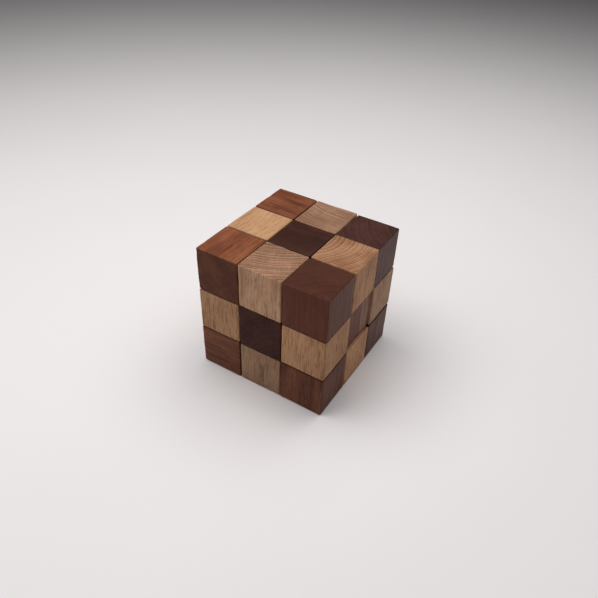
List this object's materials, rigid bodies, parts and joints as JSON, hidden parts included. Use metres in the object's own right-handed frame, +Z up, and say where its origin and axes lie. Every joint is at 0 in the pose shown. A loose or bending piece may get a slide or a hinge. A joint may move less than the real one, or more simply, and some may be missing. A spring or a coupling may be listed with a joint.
{
  "type": "snake cube puzzle",
  "caption": "Wooden cubelets in alternating light and dark wood, strung on an elastic cord and folded into a solved cube that unfolds like a snake.",
  "frame": {"origin": "centre of the solved cube's bottom face", "axes": "+Z up; +X along the bottom front row, from the first cubelet to the third; +Y away from the front face"},
  "size_m": [0.0598, 0.0598, 0.0597],
  "materials": {
    "beech": "bare sanded beech, satin",
    "reddish_stain": "reddish-brown stain, satin, grain showing",
    "mahogany_stain": "dark mahogany stain, satin, grain showing",
    "chocolate_stain": "dark chocolate stain, satin, grain showing",
    "elastic": "off-white braided cover on a round elastic cord"
  },
  "bodies": {
    "cubelet_01": {"cubelet_01_end": "reddish_stain", "cord_01_02": "elastic", "knot_01": "elastic"},
    "cubelet_02": {"cubelet_02_straight": "beech"},
    "cubelet_03": {"cubelet_03_corner": "reddish_stain", "cord_02_03": "elastic"},
    "cord_03_04": {"cord_03_04": "elastic"},
    "cubelet_04": {"cubelet_04_corner": "beech", "cord_04_05": "elastic"},
    "cubelet_05": {"cubelet_05_straight": "mahogany_stain"},
    "cubelet_06": {"cubelet_06_corner": "beech", "cord_05_06": "elastic"},
    "cord_06_07": {"cord_06_07": "elastic"},
    "cubelet_07": {"cubelet_07_corner": "reddish_stain", "cord_07_08": "elastic"},
    "cubelet_08": {"cubelet_08_straight": "beech"},
    "cubelet_09": {"cubelet_09_corner": "chocolate_stain", "cord_08_09": "elastic"},
    "cord_09_10": {"cord_09_10": "elastic"},
    "cubelet_10": {"cubelet_10_corner": "beech", "cord_10_11": "elastic"},
    "cubelet_11": {"cubelet_11_straight": "mahogany_stain"},
    "cubelet_12": {"cubelet_12_corner": "beech", "cord_11_12": "elastic"},
    "cord_12_13": {"cord_12_13": "elastic"},
    "cubelet_13": {"cubelet_13_corner": "chocolate_stain", "cord_13_14": "elastic"},
    "cubelet_14": {"cubelet_14_straight": "beech"},
    "cubelet_15": {"cubelet_15_corner": "mahogany_stain", "cord_14_15": "elastic"},
    "cord_15_16": {"cord_15_16": "elastic"},
    "cubelet_16": {"cubelet_16_corner": "beech", "cord_16_17": "elastic"},
    "cubelet_17": {"cubelet_17_straight": "chocolate_stain"},
    "cubelet_18": {"cubelet_18_corner": "beech", "cord_17_18": "elastic"},
    "cord_18_19": {"cord_18_19": "elastic"},
    "cubelet_19": {"cubelet_19_corner": "reddish_stain", "cord_19_20": "elastic"},
    "cubelet_20": {"cubelet_20_straight": "beech"},
    "cubelet_21": {"cubelet_21_corner": "mahogany_stain", "cord_20_21": "elastic"},
    "cord_21_22": {"cord_21_22": "elastic"},
    "cubelet_22": {"cubelet_22_corner": "beech", "cord_22_23": "elastic"},
    "cubelet_23": {"cubelet_23_straight": "chocolate_stain"},
    "cubelet_24": {"cubelet_24_corner": "beech", "cord_23_24": "elastic"},
    "cord_24_25": {"cord_24_25": "elastic"},
    "cubelet_25": {"cubelet_25_corner": "reddish_stain", "cord_25_26": "elastic"},
    "cubelet_26": {"cubelet_26_straight": "beech"},
    "cubelet_27": {"cubelet_27_end": "chocolate_stain", "cord_26_27": "elastic", "knot_27": "elastic"}
  },
  "joints": [
    {"name": "twist_01_02", "type": "hinge", "parent": "cubelet_01", "child": "cubelet_02", "pos_m": [-0.02, -0.02, 0.00985], "axis": [1, 0, 0], "range_deg": [0, 90]},
    {"name": "twist_02_03", "type": "hinge", "parent": "cubelet_02", "child": "cubelet_03", "pos_m": [0, -0.02, 0.00985], "axis": [-1, 0, 0], "range_deg": [0, 90]},
    {"name": "unfold_03_04", "type": "slide", "parent": "cubelet_03", "child": "cord_03_04", "axis": [0, 1, 0], "range_m": [0, 0.013], "stiffness_N_per_m": 300, "springref_m": -0.02},
    {"name": "fold_03_04", "type": "hinge", "parent": "cord_03_04", "child": "cubelet_04", "pos_m": [0.02, -0.02, 0.00985], "axis": [0, 1, 0], "range_deg": [0, 90]},
    {"name": "twist_04_05", "type": "hinge", "parent": "cubelet_04", "child": "cubelet_05", "pos_m": [0.02, 0, 0.00985], "axis": [1, 0, 0], "range_deg": [0, 45]},
    {"name": "twist_05_06", "type": "hinge", "parent": "cubelet_05", "child": "cubelet_06", "pos_m": [0, 0, 0.00985], "axis": [-1, 0, 0], "range_deg": [0, 45]},
    {"name": "stretch_06_07", "type": "slide", "parent": "cubelet_06", "child": "cord_06_07", "axis": [0, 1, 0], "range_m": [0, 0.013], "stiffness_N_per_m": 300, "springref_m": -0.02},
    {"name": "fold_06_07", "type": "hinge", "parent": "cord_06_07", "child": "cubelet_07", "pos_m": [-0.02, 0, 0.00985], "axis": [0, -1, 0], "range_deg": [0, 90]},
    {"name": "twist_07_08", "type": "hinge", "parent": "cubelet_07", "child": "cubelet_08", "pos_m": [-0.02, 0.02, 0.00985], "axis": [1, 0, 0], "range_deg": [0, 90]},
    {"name": "twist_08_09", "type": "hinge", "parent": "cubelet_08", "child": "cubelet_09", "pos_m": [0, 0.02, 0.00985], "axis": [-1, 0, 0], "range_deg": [0, 90]},
    {"name": "stretch_09_10", "type": "slide", "parent": "cubelet_09", "child": "cord_09_10", "axis": [0, 0, 1], "range_m": [0, 0.013], "stiffness_N_per_m": 300, "springref_m": -0.02},
    {"name": "turn_09_10", "type": "hinge", "parent": "cord_09_10", "child": "cubelet_10", "pos_m": [0.02, 0.02, 0.00985], "axis": [0, 0, 1], "continuous": true},
    {"name": "twist_10_11", "type": "hinge", "parent": "cubelet_10", "child": "cubelet_11", "pos_m": [0.02, 0.02, 0.02985], "axis": [1, 0, 0], "range_deg": [0, 45]},
    {"name": "twist_11_12", "type": "hinge", "parent": "cubelet_11", "child": "cubelet_12", "pos_m": [0, 0.02, 0.02985], "axis": [-1, 0, 0], "range_deg": [0, 45]},
    {"name": "stretch_12_13", "type": "slide", "parent": "cubelet_12", "child": "cord_12_13", "axis": [0, -1, 0], "range_m": [0, 0.013], "stiffness_N_per_m": 300, "springref_m": -0.02},
    {"name": "fold_12_13", "type": "hinge", "parent": "cord_12_13", "child": "cubelet_13", "pos_m": [-0.02, 0.02, 0.02985], "axis": [0, -1, 0], "range_deg": [0, 15]},
    {"name": "twist_13_14", "type": "hinge", "parent": "cubelet_13", "child": "cubelet_14", "pos_m": [-0.02, 0, 0.02985], "axis": [1, 0, 0], "range_deg": [0, 90]},
    {"name": "twist_14_15", "type": "hinge", "parent": "cubelet_14", "child": "cubelet_15", "pos_m": [0, 0, 0.02985], "axis": [-1, 0, 0], "range_deg": [0, 90]},
    {"name": "stretch_15_16", "type": "slide", "parent": "cubelet_15", "child": "cord_15_16", "axis": [0, -1, 0], "range_m": [0, 0.013], "stiffness_N_per_m": 300, "springref_m": -0.02},
    {"name": "fold_15_16", "type": "hinge", "parent": "cord_15_16", "child": "cubelet_16", "pos_m": [0.02, 0, 0.02985], "axis": [0, 1, 0], "range_deg": [0, 15]},
    {"name": "twist_16_17", "type": "hinge", "parent": "cubelet_16", "child": "cubelet_17", "pos_m": [0.02, -0.02, 0.02985], "axis": [1, 0, 0], "range_deg": [0, 45]},
    {"name": "twist_17_18", "type": "hinge", "parent": "cubelet_17", "child": "cubelet_18", "pos_m": [0, -0.02, 0.02985], "axis": [-1, 0, 0], "range_deg": [0, 45]},
    {"name": "stretch_18_19", "type": "slide", "parent": "cubelet_18", "child": "cord_18_19", "axis": [0, 0, 1], "range_m": [0, 0.013], "stiffness_N_per_m": 300, "springref_m": -0.02},
    {"name": "turn_18_19", "type": "hinge", "parent": "cord_18_19", "child": "cubelet_19", "pos_m": [-0.02, -0.02, 0.02985], "axis": [0, 0, 1], "continuous": true},
    {"name": "twist_19_20", "type": "hinge", "parent": "cubelet_19", "child": "cubelet_20", "pos_m": [-0.02, -0.02, 0.04985], "axis": [1, 0, 0], "range_deg": [0, 90]},
    {"name": "twist_20_21", "type": "hinge", "parent": "cubelet_20", "child": "cubelet_21", "pos_m": [0, -0.02, 0.04985], "axis": [-1, 0, 0], "range_deg": [0, 90]},
    {"name": "stretch_21_22", "type": "slide", "parent": "cubelet_21", "child": "cord_21_22", "axis": [0, 1, 0], "range_m": [0, 0.013], "stiffness_N_per_m": 300, "springref_m": -0.02},
    {"name": "fold_21_22", "type": "hinge", "parent": "cord_21_22", "child": "cubelet_22", "pos_m": [0.02, -0.02, 0.04985], "axis": [0, 1, 0], "range_deg": [0, 90]},
    {"name": "twist_22_23", "type": "hinge", "parent": "cubelet_22", "child": "cubelet_23", "pos_m": [0.02, 0, 0.04985], "axis": [1, 0, 0], "range_deg": [0, 45]},
    {"name": "twist_23_24", "type": "hinge", "parent": "cubelet_23", "child": "cubelet_24", "pos_m": [0, 0, 0.04985], "axis": [-1, 0, 0], "range_deg": [0, 45]},
    {"name": "stretch_24_25", "type": "slide", "parent": "cubelet_24", "child": "cord_24_25", "axis": [0, 1, 0], "range_m": [0, 0.013], "stiffness_N_per_m": 300, "springref_m": -0.02},
    {"name": "fold_24_25", "type": "hinge", "parent": "cord_24_25", "child": "cubelet_25", "pos_m": [-0.02, 0, 0.04985], "axis": [0, -1, 0], "range_deg": [0, 90]},
    {"name": "twist_25_26", "type": "hinge", "parent": "cubelet_25", "child": "cubelet_26", "pos_m": [-0.02, 0.02, 0.04985], "axis": [1, 0, 0], "range_deg": [0, 90]},
    {"name": "twist_26_27", "type": "hinge", "parent": "cubelet_26", "child": "cubelet_27", "pos_m": [0, 0.02, 0.04985], "axis": [-1, 0, 0], "range_deg": [0, 90]}
  ],
  "couplings": [
    {"joint": "twist_01_02", "follows": "unfold_03_04", "rad_per_m": 120.83},
    {"joint": "twist_02_03", "follows": "unfold_03_04", "rad_per_m": 120.83},
    {"joint": "fold_03_04", "follows": "unfold_03_04", "rad_per_m": 120.83},
    {"joint": "twist_04_05", "follows": "unfold_03_04", "rad_per_m": 60.415},
    {"joint": "twist_05_06", "follows": "unfold_03_04", "rad_per_m": 60.415},
    {"joint": "stretch_06_07", "follows": "unfold_03_04", "ratio": 1},
    {"joint": "fold_06_07", "follows": "unfold_03_04", "rad_per_m": 120.83},
    {"joint": "twist_07_08", "follows": "unfold_03_04", "rad_per_m": 120.83},
    {"joint": "twist_08_09", "follows": "unfold_03_04", "rad_per_m": 120.83},
    {"joint": "stretch_09_10", "follows": "unfold_03_04", "ratio": 1},
    {"joint": "twist_10_11", "follows": "unfold_03_04", "rad_per_m": 60.415},
    {"joint": "twist_11_12", "follows": "unfold_03_04", "rad_per_m": 60.415},
    {"joint": "stretch_12_13", "follows": "unfold_03_04", "ratio": 1},
    {"joint": "fold_12_13", "follows": "unfold_03_04", "rad_per_m": 20.138},
    {"joint": "twist_13_14", "follows": "unfold_03_04", "rad_per_m": 120.83},
    {"joint": "twist_14_15", "follows": "unfold_03_04", "rad_per_m": 120.83},
    {"joint": "stretch_15_16", "follows": "unfold_03_04", "ratio": 1},
    {"joint": "fold_15_16", "follows": "unfold_03_04", "rad_per_m": 20.138},
    {"joint": "twist_16_17", "follows": "unfold_03_04", "rad_per_m": 60.415},
    {"joint": "twist_17_18", "follows": "unfold_03_04", "rad_per_m": 60.415},
    {"joint": "stretch_18_19", "follows": "unfold_03_04", "ratio": 1},
    {"joint": "twist_19_20", "follows": "unfold_03_04", "rad_per_m": 120.83},
    {"joint": "twist_20_21", "follows": "unfold_03_04", "rad_per_m": 120.83},
    {"joint": "stretch_21_22", "follows": "unfold_03_04", "ratio": 1},
    {"joint": "fold_21_22", "follows": "unfold_03_04", "rad_per_m": 120.83},
    {"joint": "twist_22_23", "follows": "unfold_03_04", "rad_per_m": 60.415},
    {"joint": "twist_23_24", "follows": "unfold_03_04", "rad_per_m": 60.415},
    {"joint": "stretch_24_25", "follows": "unfold_03_04", "ratio": 1},
    {"joint": "fold_24_25", "follows": "unfold_03_04", "rad_per_m": 120.83},
    {"joint": "twist_25_26", "follows": "unfold_03_04", "rad_per_m": 120.83},
    {"joint": "twist_26_27", "follows": "unfold_03_04", "rad_per_m": 120.83}
  ]
}
